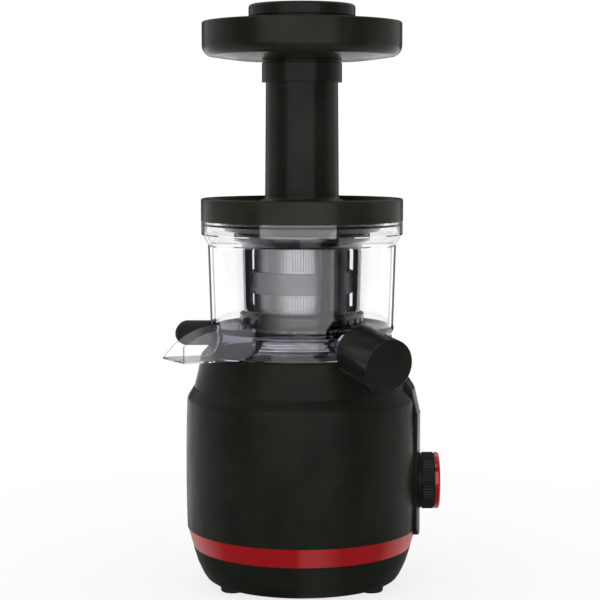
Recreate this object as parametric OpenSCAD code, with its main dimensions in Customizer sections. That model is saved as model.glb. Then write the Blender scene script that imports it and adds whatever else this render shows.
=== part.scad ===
// Cold press juicer: a motor base with a coaxial two stage gear train, a clear
// juicing bowl with a strainer, rotating wiper and screw, and a lid with a feed
// tube, hopper tray and pusher. Millimetres, +Z up, the origin on the table
// under the drive shaft, the outlets towards -Y and the control knob on +X.

/* [Motor base] */
// Widest radius of the barrel
barrel_r = 82.3; // [81.8:0.1:82.8]
// Radius of the base at its top edge
neck_r = 71.4; // [71:0.1:72]
// Wall thickness of the housing mouldings
wall = 2.6; // [2.2:0.1:3]
// Height of the rubber feet under the pan
foot_h = 4.2; // [3.6:0.1:5]
// Top of the base pan, where the trim ring starts
pan_top_z = 28.3; // [28:0.1:29]
// Top of the sloping trim ring
band_top_z = 41.8; // [41:0.1:42.2]
// Height of the crease where the barrel turns in to the neck
shoulder_z = 134.6; // [134:0.1:135]
// Height of the groove between shoulder and neck
neck_z = 141.6; // [141:0.1:142]
// Top deck of the base, on which the bowl stands
deck_z = 166.2; // [166:0.1:166.6]

/* [Bowl] */
// Radius of the bowl's upper band
bowl_band_r = 70.9; // [70.5:0.1:71.2]
// Outer radius of the clear wall at its top
bowl_r = 66.3; // [66:0.1:66.6]
// Draft of the clear wall, on the radius
bowl_draft = 1.8; // [1.2:0.1:2.2]
// Height of the lid's lower edge above the deck
bowl_h = 92.2; // [92:0.1:93]
// Radius of the strainer's wall
strainer_r = 33.8; // [33.6:0.1:34]
// Radius of the wiper frame's top flange
wiper_top_r = 47.9; // [47:0.1:49]

/* [Lid and hopper] */
// Radius of the lid
lid_r = 71.1; // [71:0.1:71.6]
// Height of the lid above the bowl's rim
lid_h = 15.9; // [15.5:0.1:16.5]
// How far the feed tube stands behind the screw's axis
tube_y = 16; // [15.5:0.1:16.5]
// Outer radius of the feed tube at its foot
tube_r = 26.3; // [26:0.1:26.6]
// Bore radius of the feed tube
tube_bore_r = 22.7; // [22.5:0.1:22.9]
// Radius of the hopper tray
tray_r = 70.9; // [69:0.1:73]
// Height of the tray's rim above the table
tray_rim_z = 397.9; // [397:0.1:400]
// Radius of the pusher's cap
cap_r = 37.8; // [37:0.1:38.5]
// Height of the pusher's top above the table
pusher_top_z = 410.2; // [408:0.1:412]

/* [Outlets] */
// Bearing of the juice tap, to the right of the front
tap_angle = 29.2; // [28:0.1:31]
// Downward slope of the juice tap
tap_slope = 9; // [8:0.1:10]
// Radius of the tap's turning cap
tap_r = 17.8; // [17.5:0.1:18.2]
// Length of the tap's turning cap
tap_len = 38; // [36:0.5:39]
// Direction of the pulp chute, turned from -X towards the front
chute_angle = 11.5; // [11:0.5:12.5]
// How far the chute's middle line passes the axis
chute_offset = 32; // [31.5:0.1:32.5]
// Outside width of the pulp chute
chute_w = 34; // [33.5:0.1:34.5]
// Distance along the chute from the axis to its lip
chute_reach = 101; // [98:0.5:103]

/* [Controls] */
// Radius of the speed knob
knob_r = 20.1; // [19:0.1:21]
// Height of the knob's axis above the table
knob_z = 73.2; // [72:0.1:75]
// Half width of the control panel
panel_half_w = 24; // [23:0.5:26]

/* [Gearing] */
// Module of both gear stages in the base
base_module = 1.25; // [1.25]
// Module of the gears in the bowl
bowl_module = 1.5; // [1.5]
// Teeth on each small gear
pinion_teeth = 12; // [12]
// Teeth on each large gear
wheel_teeth = 48; // [48]
// Teeth on the foot of the screw
auger_teeth = 24; // [24]

/* [Hidden] */

$fn = 96;
eps = 0.01;
run_gap = 0.05;      // radial clearance of a running fit
tooth_play = 0.12;   // tooth thickness given up for backlash

black = [0.05, 0.055, 0.05];
clear_grey = [0.62, 0.58, 0.66, 0.45];
smoke = [0.25, 0.24, 0.27, 0.7];
steel = [0.72, 0.73, 0.75];
red = [0.72, 0.06, 0.10];
soft_grey = [0.35, 0.36, 0.38];
nylon = [0.86, 0.85, 0.8];

// Levels in the bowl, all counted from the deck
bowl_floor_z = deck_z + 17.6;           // upper face of the bowl's floor
floor_t = 2;
gear_z = bowl_floor_z + 1.2;            // foot of the gears in the bowl
gear_t = 5.6;
strainer_z = gear_z + gear_t + 1;       // underside of the strainer's floor
bowl_rim_z = deck_z + bowl_h;
rim_top_z = bowl_rim_z + 7.6;           // top of the rim that the lid covers
rim_r = bowl_band_r - 2.9;
band_z = bowl_rim_z - 9.6;              // foot of the bowl's upper band
wall_top_z = band_z - 6.8;              // top of the bowl's straight wall
strainer_top_z = bowl_rim_z - 15.2;
wiper_top_z = bowl_rim_z - 8.9;
lid_top_z = bowl_rim_z + lid_h;
lid_plate_z = lid_top_z - 3.8;          // bottom of the recess on the lid
lid_plate_t = 3;
tray_floor_z = tray_rim_z - 23.9;
collar_z = tray_rim_z - 42.2;           // foot of the tray's collar
tube_end_z = tray_floor_z - 3.5;

// Levels in the base, down from the deck
bridge_z = deck_z - 30.2;               // plate that carries the gear train
bridge_t = 3;
case_z = bridge_z - 17;                 // underside of the gear case
cover_roof_z = bridge_z + 17;
nose_top_z = deck_z + 4;
output_gear_z = bridge_z + bridge_t + 1.4;
output_gear_t = 8.4;
idle_wheel_z = case_z + 5;
idle_wheel_t = 8;
hex_z = deck_z + 36;                    // where the drive shaft turns hexagonal
hex_top_z = hex_z + 16;
hex_flats = 10.4;

base_center = base_module * (pinion_teeth + wheel_teeth) / 2;
idler_center = bowl_module * (auger_teeth + pinion_teeth) / 2;
idle_angle = 90;                        // bearing of the idle axle in the base
idler_angle = 28;                       // bearing of the idler in the bowl
case_r = 34.2;                          // inner radius of the gear case
chute_dir = 180 + chute_angle;          // plan angle of the pulp chute
pulp_dir = 268;                         // plan angle of the pulp's way down
pulp_half = 24;                         // half the angle that it spans
sensor_dir = 110;                       // plan angle of the magnet and its sensor
tap_dir = tap_angle - 90;               // plan angle of the juice tap
tap_tip = 116.3;                        // distance from axis to the tap's face
tap_tip_z = deck_z + 2.2;
tap_bore_r = 7;
tap_pipe_r = 13.5;

// ---- helpers -------------------------------------------------------------

module ring(r_out, r_in, z, h) {
    translate([0, 0, z]) difference() {
        cylinder(r = r_out, h = h);
        translate([0, 0, -eps]) cylinder(r = r_in, h = h + 2 * eps);
    }
}

module revolve(outline) {
    rotate_extrude() polygon(outline);
}

// A slice of a turned shape between two plan angles
module sector(a0, a1, r, z, h) {
    translate([0, 0, z]) linear_extrude(h)
        polygon(concat([[0, 0]], [for (i = [0 : 8])
            let (a = a0 + (a1 - a0) * i / 8) [r * cos(a), r * sin(a)]]));
}

module around(count, radius, first = 0) {
    for (i = [0 : count - 1])
        rotate(first + i * 360 / count) translate([radius, 0, 0]) children();
}

module along(angle, distance) {
    rotate(angle) translate([distance, 0, 0]) children();
}

// A plate outline with rounded corners, made from straight and round pieces
module rounded_rect(w, h, r) {
    square([w - 2 * r, h], center = true);
    square([w, h - 2 * r], center = true);
    for (x = [-1, 1], y = [-1, 1])
        translate([x * (w / 2 - r), y * (h / 2 - r)]) circle(r = r);
}

// Two equal circles and what lies between them
module stadium(r, length) {
    circle(r = r);
    translate([length, 0]) circle(r = r);
    translate([0, -r]) square([length, 2 * r]);
}

function arc(cx, cy, r, a0, a1, n) =
    [for (i = [0 : n]) let (a = a0 + (a1 - a0) * i / n)
        [cx + r * cos(a), cy + r * sin(a)]];
function reverse(list) = [for (i = [len(list) - 1 : -1 : 0]) list[i]];

// ---- involute gears ------------------------------------------------------

function inv_angle(t) = t * 180 / PI - atan(t);
function flank_point(base_r, t, turn) =
    let (r = base_r * sqrt(1 + t * t), a = turn - inv_angle(t))
        [r * cos(a), r * sin(a)];
// One tooth centred on +X: add and ded are its height above and depth below
// the pitch circle, play is what its thickness loses
function tooth(teeth, m, add, ded, play) =
    let (pitch_r = teeth * m / 2,
        base_r = pitch_r * cos(20),
        tip_r = pitch_r + add,
        root_r = pitch_r - ded,
        t_pitch = tan(20),
        half = 90 / teeth - play * 90 / PI / pitch_r,
        turn = half + inv_angle(t_pitch),
        t_low = root_r > base_r ? sqrt(pow(root_r / base_r, 2) - 1) : 0,
        t_tip = sqrt(pow(tip_r / base_r, 2) - 1),
        foot = root_r > base_r ? [] : [[root_r * cos(turn), root_r * sin(turn)]],
        flank = [for (i = [0 : 5])
            flank_point(base_r, t_low + (t_tip - t_low) * i / 5, turn)],
        side = concat(foot, flank))
    concat([for (p = side) [p[0], -p[1]]], [[tip_r, 0]], reverse(side));
function turn_by(list, a) = [for (p = list)
    [p[0] * cos(a) - p[1] * sin(a), p[0] * sin(a) + p[1] * cos(a)]];

module gear_outline(teeth, m, add, ded, play) {
    one = tooth(teeth, m, add, ded, play);
    polygon([for (k = [0 : teeth - 1])
        each turn_by(one, k * 360 / teeth)]);
}

module spur_gear(teeth, m, h, turn, bore_r) {
    rotate(turn) linear_extrude(h) difference() {
        gear_outline(teeth, m, 0.75 * m, m, tooth_play);
        circle(r = bore_r);
    }
}

// ---- motor base ----------------------------------------------------------

// Outer radius of the barrel, which bulges a little at mid height
function barrel_at(z) = barrel_r - 0.9 * pow((z - 84) / 48, 2);
// Outer radius of the neck, which flares towards its foot
function neck_at(z) =
    neck_r + 4.9 * pow((deck_z - z) / (deck_z - neck_z), 1.35);
// Radius of the sloping trim ring
function band_at(z) =
    barrel_at(band_top_z) - 0.2 - 3.9 * (band_top_z - z) / (band_top_z - pan_top_z);

barrel_side = [for (i = [0 : 10])
    let (z = band_top_z + (shoulder_z - 2 - band_top_z) * i / 10)
        [barrel_at(z), z]];
neck_side = [for (i = [0 : 10])
    let (z = neck_z + 0.6 + (deck_z - 3 - neck_z - 0.6) * i / 10)
        [neck_at(z), z]];
housing_outer = concat(
    barrel_side,
    [[81.0, shoulder_z - 0.4], [80.3, shoulder_z + 1],
        [neck_at(neck_z) + 0.9, neck_z - 0.9], [neck_at(neck_z), neck_z]],
    neck_side,
    arc(neck_r - 2.4, deck_z - 2.4, 2.4, 15, 90, 6));

module upper_housing() {
    color(black) {
        difference() {
            revolve(concat(housing_outer,
                [[14, deck_z], [14, deck_z - wall], [neck_r - wall, deck_z - wall]],
                [for (i = [0 : 5])
                    let (z = deck_z - 4 - (deck_z - neck_z - 3) * i / 5)
                        [neck_at(z) - wall, z]],
                [[barrel_at(shoulder_z) - wall, shoulder_z - wall]],
                [for (i = [1 : 5])
                    let (z = shoulder_z - 4 - (shoulder_z - 4 - band_top_z) * i / 5)
                        [barrel_at(z) - wall, z]]));
            // hole for the knob's shaft and the switch neck
            translate([70, 0, knob_z]) rotate([0, 90, 0]) cylinder(r = 5.2, h = 20);
        }
        // bosses that carry the gear train
        around(4, 57, 45) ring(5, 2, bridge_z + bridge_t,
            deck_z - wall - bridge_z - bridge_t + eps);
        // bosses and webs for the screws of the pan
        around(4, 60, 45) {
            difference() {
                union() {
                    translate([0, 0, band_top_z]) cylinder(r = 5, h = 16);
                    translate([0, -1.5, band_top_z]) cube([20, 3, 16]);
                }
                translate([0, 0, band_top_z - eps]) cylinder(r = 2, h = 14);
            }
        }
        // two ribs that hold the switch plate
        for (side = [-1, 1])
            translate([74, side * 15 - 1.5, knob_z - 14]) cube([6, 3, 28]);
    }
}

pan_outer = [[64, foot_h], [66.4, foot_h + 0.4], [68.2, foot_h + 1.6],
    [70.2, 8.7], [72.4, 13.1], [74.4, 17.6], [75.8, 22],
    [77.2, 26.4], [77.6, pan_top_z]];

module base_pan() {
    color(black) difference() {
        union() {
            // the inner lip centres the trim ring and the housing
            revolve(concat([[0, foot_h]], pan_outer,
                [[75, pan_top_z], [75, band_top_z - 0.2],
                    [72.8, band_top_z - 0.2], [72.8, 21], [69.6, 13.1],
                    [67, 8.7], [64.5, foot_h + wall], [0, foot_h + wall]]));
            around(4, 60, 45) translate([0, 0, foot_h + 1])
                cylinder(r = 5.5, h = band_top_z - foot_h - 1);
            // pegs for the circuit board
            for (x = [40, 60], y = [-16, 16])
                translate([x, y, foot_h + 1]) cylinder(r = 2.5, h = 7);
            // cradle of the capacitor
            translate([-56, 0, 0]) ring(12, 10, foot_h + 2, 7);
            // housing of the cord's gland, at the back
            translate([0, 78, 17]) rotate([90, 0, 0]) cylinder(r = 8.5, h = 13);
        }
        around(4, 60, 45) translate([0, 0, foot_h - eps]) {
            cylinder(r = 4.3, h = 8);
            cylinder(r = 2.2, h = 60);
        }
        // cooling slots under the fan
        for (i = [0 : 23])
            rotate(i * 15) translate([20, -1.6, foot_h - 1]) cube([22, 3.2, 5]);
        // cooling slots through the pan's side, at the back
        for (a = [35 : 5 : 70], s = [0, 1])
            rotate(s ? a : 180 - a) translate([66.5, -1, 11]) cube([12, 2, 11]);
        translate([0, 80, 17]) rotate([90, 0, 0]) cylinder(r = 6, h = 18);
    }
}

module trim_ring() {
    color(red) revolve([[band_at(pan_top_z), pan_top_z],
        [band_at(band_top_z), band_top_z], [75, band_top_z], [75, pan_top_z]]);
}

module rubber_feet() {
    color([0.12, 0.12, 0.12])
        for (a = [30, 150, 210, 330])
            along(a, 56) revolve([[0, 0], [7.6, 0], [8.2, 0.6], [8.7, foot_h], [0, foot_h]]);
}

module pan_screws() {
    color(steel) around(4, 60, 45) {
        translate([0, 0, foot_h + 5.8]) difference() {
            cylinder(r = 3.8, h = 2.2);
            translate([-2.4, -0.4, -eps]) cube([4.8, 0.8, 1]);
            translate([-0.4, -2.4, -eps]) cube([0.8, 4.8, 1]);
        }
        translate([0, 0, foot_h + 7.9]) cylinder(r = 2, h = 43);
    }
}

// ---- controls ------------------------------------------------------------

panel_r = barrel_r + 1.7;
panel_foot_z = 37.6;
panel_top_z = 123.7;

module control_panel() {
    color(black) difference() {
        union() {
            // raised pad that follows the barrel
            intersection() {
                ring(panel_r, 70, panel_foot_z, panel_top_z - panel_foot_z);
                translate([60, 0, (panel_foot_z + panel_top_z) / 2])
                    rotate([90, 0, 90]) linear_extrude(40)
                        rounded_rect(2 * panel_half_w, panel_top_z - panel_foot_z, 7);
            }
            // round seat behind the knob
            translate([75, 0, knob_z]) rotate([0, 90, 0])
                cylinder(r = knob_r - 0.4, h = barrel_r + 2 - 75);
            // fairing over the shoulder and up the neck
            intersection() {
                rotate([90, 0, 0]) translate([0, 0, -panel_half_w]) linear_extrude(
                    2 * panel_half_w)
                    polygon([[70, panel_top_z - 8], [panel_r - 0.8, panel_top_z - 8],
                        [panel_r - 1.2, panel_top_z + 4], [79.6, 141.5],
                        [76.2, 146.7], [70, 146.7]]);
                revolve([[70, 110], [panel_r, 110], [panel_r, panel_top_z],
                    [81.6, 134], [80.2, 141.5], [76.4, 146.7], [70, 146.7]]);
            }
        }
        // the pad is seated on the housing, the trim ring and the pan
        revolve(concat([[0, 30], [band_at(30), 30]], [[band_at(band_top_z), band_top_z]],
            housing_outer, [[0, deck_z]]));
        translate([70, 0, knob_z]) rotate([0, 90, 0]) cylinder(r = 5.2, h = 20);
    }
}

module rotary_switch() {
    color(soft_grey) translate([0, 0, knob_z]) rotate([0, 90, 0]) {
        difference() {
            union() {
                translate([0, 0, 58]) cylinder(r = 12, h = 14);
                translate([0, 0, 72]) cylinder(r = 5, h = 12);
                translate([-13, -16.5, 72]) cube([26, 33, 2]);
            }
            translate([0, 0, 60]) cylinder(r = 3 + run_gap, h = 30);
        }
        // terminals
        for (a = [0 : 60 : 300])
            rotate(a) translate([7, -1.5, 53]) cube([0.8, 3, 5 + eps]);
    }
}

module switch_shaft() {
    color(steel) translate([60.3, 0, knob_z]) rotate([0, 90, 0])
        difference() {
            cylinder(r = 3, h = 30);
            translate([1.6, -4, 25]) cube([4, 8, 8]);
        }
}

knob_back = barrel_r + 2.3;
knob_front = knob_back + 9.2;

module knob() {
    color(black) translate([0, 0, knob_z]) rotate([0, 90, 0]) difference() {
        union() {
            translate([0, 0, knob_back]) cylinder(r = knob_r - 0.8, h = 9.2);
            // fine grip teeth around the rim
            translate([0, 0, knob_back + 0.8]) linear_extrude(7.6)
                polygon([for (i = [0 : 119])
                    let (r = i % 2 ? knob_r : knob_r - 0.6)
                        [r * cos(i * 3), r * sin(i * 3)]]);
        }
        // the D shaped socket for the switch's shaft
        difference() {
            translate([0, 0, 80]) cylinder(r = 3, h = 10.3);
            translate([1.6, -4, 85.3]) cube([4, 8, 8]);
        }
        // hollow back
        translate([0, 0, knob_back - eps]) difference() {
            cylinder(r = knob_r - 3.4, h = 5);
            cylinder(r = 6, h = 6);
            translate([-knob_r, -0.9, 0]) cube([2 * knob_r, 1.8, 6]);
            translate([-0.9, -knob_r, 0]) cube([1.8, 2 * knob_r, 6]);
        }
        // pointer groove on the rim
        translate([-knob_r - 1, -0.9, knob_back + 1]) cube([2.2, 1.8, 9]);
    }
}

module knob_ring() {
    color(red) translate([knob_front, 0, knob_z]) rotate([0, 90, 0])
        revolve(concat([[0, 0], [knob_r - 0.1, 0]],
            arc(knob_r - 1.9, 1.9, 1.8, 0, 90, 5), [[12, 3.9], [0, 4.1]]));
}

module control_board() {
    color([0.12, 0.32, 0.18]) {
        difference() {
            translate([36, -20, foot_h + 8]) cube([28, 40, 1.6]);
            for (x = [40, 60], y = [-16, 16])
                translate([x, y, foot_h]) cylinder(r = 1.2, h = 12);
        }
        translate([50, -12, foot_h + 9.6]) cube([10, 8, 9]);
        translate([50, 2, foot_h + 9.6]) cube([8, 12, 7]);
        for (y = [-14 : 7 : 14])
            translate([42, y, foot_h + 9.6]) cylinder(r = 2.2, h = 6);
    }
}

module run_capacitor() {
    color([0.8, 0.8, 0.78]) translate([-56, 0, foot_h + wall]) {
        cylinder(r = 9.9, h = 34);
        for (y = [-4, 4]) translate([-0.4, y - 1.5, 34 - eps]) cube([0.8, 3, 5]);
    }
}

module cord_gland() {
    color([0.08, 0.08, 0.08]) difference() {
        translate([0, 80.5, 17]) rotate([90, 0, 0]) {
            cylinder(r = 8, h = 2.5);
            translate([0, 0, 2.4]) cylinder(r = 6, h = 9);
        }
        translate([0, 82, 17]) rotate([90, 0, 0]) cylinder(r = 3.6, h = 20);
    }
}

module interlock_sensor() {
    color(soft_grey) along(sensor_dir, 55) {
        translate([-5, -9, deck_z - wall - 6]) cube([10, 18, 6]);
        for (y = [-5, 5])
            translate([-0.4, y - 1, deck_z - wall - 10]) cube([0.8, 2, 4 + eps]);
    }
}

// ---- motor ---------------------------------------------------------------

stack_h = 38;
stack_z = case_z - 18 - stack_h;
motor_r = 40;

module motor_stator() {
    color(soft_grey) difference() {
        translate([0, 0, stack_z]) cylinder(r = motor_r, h = stack_h);
        translate([0, 0, stack_z - 1]) cylinder(r = 22.2, h = stack_h + 2);
        // slots that hold the windings
        for (i = [0 : 23])
            rotate(i * 15) translate([21, -0.6, stack_z - 1])
                cube([3, 1.2, stack_h + 2]);
        around(4, 34, 45) translate([0, 0, stack_z - 1]) cylinder(r = 2, h = 60);
    }
}

module motor_windings() {
    color([0.72, 0.40, 0.16])
        for (z = [stack_z - 6, stack_z + stack_h])
            ring(31, 24.5, z, 6);
}

module bracket() {
    // a cup with a bearing seat in its middle, open side up
    difference() {
        revolve([[7, 0], [13.5, 0], [13.5, 9], [36, 9], [motor_r, 11],
            [motor_r, 18], [motor_r - 3, 18], [motor_r - 3, 12.5],
            [35, 11.5], [7, 11.5]]);
        translate([0, 0, -eps]) cylinder(r = 11, h = 9);
        around(4, 34, 45) translate([0, 0, 5]) cylinder(r = 2, h = 12);
        // openings for the cooling air
        for (i = [0 : 7])
            rotate(i * 45) translate([17, -4, 8]) cube([12, 8, 4]);
    }
}

module motor_lower_bracket() {
    color(steel) translate([0, 0, stack_z - 18]) bracket();
}

module motor_upper_bracket() {
    color(steel) translate([0, 0, stack_z + stack_h + 18])
        mirror([0, 0, 1]) bracket();
}

module motor_bearings() {
    color([0.6, 0.62, 0.65]) {
        ring(11, 4 + run_gap, stack_z - 16, 7);
        ring(11, 4 + run_gap, stack_z + stack_h + 9, 7);
    }
}

module motor_bolts() {
    color(steel) around(4, 34, 45) {
        translate([0, 0, stack_z - 12]) cylinder(r = 3.4, h = 3);
        translate([0, 0, stack_z - 9.1]) cylinder(r = 2, h = case_z - stack_z + 12);
    }
}

module motor_rotor() {
    color([0.65, 0.66, 0.68]) {
        translate([0, 0, stack_z]) cylinder(r = 21.7, h = stack_h);
        translate([0, 0, stack_z - 4]) cylinder(r = 19, h = stack_h + 8);
        translate([0, 0, stack_z - 9]) cylinder(r = 6, h = stack_h + 18);
        translate([0, 0, 26]) cylinder(r = 4, h = bridge_z - 1.7 - 26);
    }
}

module motor_fan() {
    color(nylon) difference() {
        union() {
            translate([0, 0, 28]) cylinder(r = 7, h = 12);
            translate([0, 0, 38]) cylinder(r = 36, h = 2);
            for (i = [0 : 10])
                rotate(i * 360 / 11) translate([6, -0.8, 29]) cube([29, 1.6, 9.5]);
        }
        translate([0, 0, 27]) cylinder(r = 4, h = 14);
    }
}

// ---- gear train in the base ----------------------------------------------

module motor_pinion() {
    color(steel) translate([0, 0, idle_wheel_z - 1])
        spur_gear(pinion_teeth, base_module, idle_wheel_t + 2, idle_angle, 4);
}

module reduction_gear() {
    color(nylon) along(idle_angle, base_center) rotate(-idle_angle) {
        translate([0, 0, idle_wheel_z]) spur_gear(wheel_teeth, base_module,
            idle_wheel_t, idle_angle + 180 + 180 / wheel_teeth, 4 + run_gap);
        ring(7, 4 + run_gap, idle_wheel_z + idle_wheel_t - eps,
            output_gear_z - 1 - idle_wheel_z - idle_wheel_t);
        translate([0, 0, output_gear_z - 1.2]) spur_gear(pinion_teeth, base_module,
            output_gear_t + 2.2, idle_angle + 180, 4 + run_gap);
    }
}

module idle_axle() {
    color(steel) along(idle_angle, base_center) {
        translate([0, 0, case_z]) cylinder(r = 4, h = cover_roof_z - case_z);
        translate([0, 0, case_z + 3])
            cylinder(r = 6.5, h = idle_wheel_z - case_z - 3);
    }
}

module output_gear() {
    color(steel) translate([0, 0, output_gear_z]) difference() {
        spur_gear(wheel_teeth, base_module, output_gear_t,
            idle_angle + 180 / wheel_teeth, 6);
        // webs are thinned between hub and rim
        ring(25, 11, -eps, 2);
        ring(25, 11, output_gear_t - 2, 2 + eps);
    }
}

module drive_shaft() {
    color(steel) {
        translate([0, 0, bridge_z + 0.4]) cylinder(r = 4, h = 4);
        translate([0, 0, bridge_z + 4]) cylinder(r = 6, h = hex_z - bridge_z - 4);
        translate([0, 0, hex_z - eps])
            cylinder(d = hex_flats / cos(30), h = hex_top_z - hex_z - 1, $fn = 6);
        translate([0, 0, hex_top_z - 1.1]) cylinder(r1 = 5, r2 = 4.2, h = 1.1);
    }
}

module lower_bush() {
    color([0.75, 0.55, 0.3]) ring(8, 4 + run_gap, bridge_z, bridge_t + 1);
}

module output_bearing() {
    color([0.6, 0.62, 0.65]) ring(11.5, 6 + run_gap, deck_z - 8, 8);
}

// The case's inner outline: a circle round each gear axis
module case_outline(r) {
    rotate(idle_angle) stadium(r, base_center);
}

module gearbox_case() {
    color(soft_grey) difference() {
        translate([0, 0, case_z]) linear_extrude(bridge_z - case_z)
            case_outline(case_r + 2);
        translate([0, 0, case_z + 3]) linear_extrude(bridge_z - case_z)
            case_outline(case_r);
        translate([0, 0, case_z - 1]) cylinder(r = 11, h = 6);
        along(idle_angle, base_center) translate([0, 0, case_z - 1])
            cylinder(r = 4, h = 6);
        around(4, 34, 45) translate([0, 0, case_z - 1]) cylinder(r = 2, h = 6);
    }
}

module gearbox_bridge() {
    color(steel) difference() {
        translate([0, 0, bridge_z]) cylinder(r = 64, h = bridge_t);
        translate([0, 0, bridge_z - 1]) cylinder(r = 8, h = 6);
        along(idle_angle, base_center) translate([0, 0, bridge_z - 1])
            cylinder(r = 10, h = 6);
        around(4, 57, 45) translate([0, 0, bridge_z - 1]) cylinder(r = 2.2, h = 6);
    }
}

module gearbox_cover() {
    z0 = bridge_z + bridge_t;
    color(soft_grey) difference() {
        union() {
            translate([0, 0, z0]) cylinder(r = 35, h = cover_roof_z - z0);
            along(idle_angle, base_center) translate([0, 0, z0])
                cylinder(r = 13, h = cover_roof_z - z0);
            translate([0, 0, cover_roof_z - eps])
                cylinder(r = 14, h = nose_top_z - cover_roof_z);
        }
        translate([0, 0, z0 - 1]) cylinder(r = 32.5, h = cover_roof_z - z0 - 2);
        along(idle_angle, base_center) translate([0, 0, z0 - 1]) {
            cylinder(r = 10.5, h = cover_roof_z - z0 - 2);
            cylinder(r = 4, h = 40);
        }
        translate([0, 0, z0]) cylinder(r = 8, h = 60);
        translate([0, 0, deck_z - 8]) cylinder(r = 11.5, h = 20);
    }
}

module gearbox_screws() {
    color(steel) around(4, 57, 45) {
        translate([0, 0, bridge_z - 3]) cylinder(r = 3.8, h = 3);
        translate([0, 0, bridge_z - eps]) cylinder(r = 2, h = 16);
    }
}

module hub_seal() {
    // a lipped silicone ring between the nose and the turning shaft
    color([0.75, 0.76, 0.78]) revolve([[6 + run_gap, deck_z + 1.2], [9, deck_z],
        [11.5, deck_z], [11.5, nose_top_z], [13.2, nose_top_z],
        [13.2, nose_top_z + 1], [8.5, nose_top_z + 1], [6 + run_gap, deck_z + 3]]);
}

// ---- bowl ----------------------------------------------------------------

boss_top_z = bowl_floor_z + 12;
// Outer radius of the clear wall
function wall_at(z) =
    bowl_r - bowl_draft * (wall_top_z - z) / (wall_top_z - bowl_floor_z);

// The flared foot, up to the bead that marks the floor
foot_outer = concat(
    [[69.8, deck_z], [69.5, deck_z + 0.8]],
    [for (i = [1 : 6]) let (t = i / 6)
        [69.5 - 6.2 * (1 - pow(1 - t, 2)), deck_z + 0.8 + 12 * t]],
    [[64.1, bowl_floor_z - 3.4], [64.9, bowl_floor_z - 1.6], [64.9, bowl_floor_z]]);
wall_outer = [[64.9, bowl_floor_z], [wall_at(bowl_floor_z + 0.6), bowl_floor_z + 0.6],
    [wall_at(wall_top_z), wall_top_z],
    // the step out to the upper band
    [bowl_r + 0.9, wall_top_z + 1], [bowl_band_r - 0.8, band_z - 1],
    [bowl_band_r, band_z + 0.4], [bowl_band_r, bowl_rim_z],
    // the rim that stands up inside the lid
    [rim_r, bowl_rim_z], [rim_r, rim_top_z]];
bowl_outer = concat(foot_outer, wall_outer);

// Places its children in the chute's frame: +X along it, +Y across it
module in_chute() {
    rotate(chute_dir) translate([0, chute_offset, 0]) children();
}

// Places its children in the tap's frame: +Z from its face to the bowl, +X up
module in_tap() {
    rotate(tap_dir) translate([tap_tip, 0, tap_tip_z])
        rotate([0, tap_slope - 90, 0]) children();
}

// A part of a ring over the pulp's way down
module pulp_ring(r_out, r_in, half, z, h) {
    intersection() {
        ring(r_out, r_in, z, h);
        sector(pulp_dir - half, pulp_dir + half, r_out * 1.2, z - 1, h + 2);
    }
}

duct_half = chute_w / 2 - 1.7;
under_z = bowl_floor_z - floor_t;

module foot_shell() {
    foot_inside = [for (i = [5 : -1 : 1]) let (t = i / 6)
        [67.4 - 6.2 * (1 - pow(1 - t, 2)), deck_z + 0.8 + 12 * t]];
    revolve(concat(foot_outer,
        // seat of the screw's foot and boss round the drive shaft
        [[15.5, bowl_floor_z], [15.5, gear_z], [13, gear_z], [13, boss_top_z],
            [8.5, boss_top_z], [8.5, under_z], [61.2, under_z]],
        foot_inside, [[67.4, deck_z]]));
}

// The duct that leads the pulp under the floor to its port in the foot
module pulp_duct() {
    intersection() {
        in_chute() translate([-10, -duct_half - 1.7, deck_z + 1.2])
            cube([90, 2 * duct_half + 3.4, under_z - deck_z - 1.2]);
        revolve(concat(bowl_outer, [[0, bowl_rim_z], [0, deck_z]]));
    }
}

// The pipe that leads the juice under the wall to the tap
module juice_pipe() {
    difference() {
        in_tap() translate([0, 0, 40]) cylinder(r = 9, h = 26);
        revolve(concat(wall_outer, [[0, rim_top_z], [0, bowl_floor_z]]));
    }
    // the wide part, on which the tap turns
    in_tap() translate([0, 0, 3.6]) cylinder(r = tap_pipe_r, h = 37);
    // flange at the root of the wide part
    in_tap() translate([0, 0, 38.6]) cylinder(r = tap_pipe_r - 1, h = 5);
}

module bowl() {
    // the clear wall, welded to its base on the bead
    color(clear_grey) revolve(concat(wall_outer,
        [[rim_r - 2.2, rim_top_z], [rim_r - 2.2, bowl_rim_z - 1.6],
            [bowl_band_r - 2.6, bowl_rim_z - 3], [bowl_band_r - 2.6, band_z + 1],
            [bowl_r - 2, wall_top_z + 0.6], [bowl_r - 2.3, wall_top_z - 1],
            [wall_at(bowl_floor_z) - 2.4, bowl_floor_z + 1.5],
            [wall_at(bowl_floor_z) - 3.9, bowl_floor_z]]));
}

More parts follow.
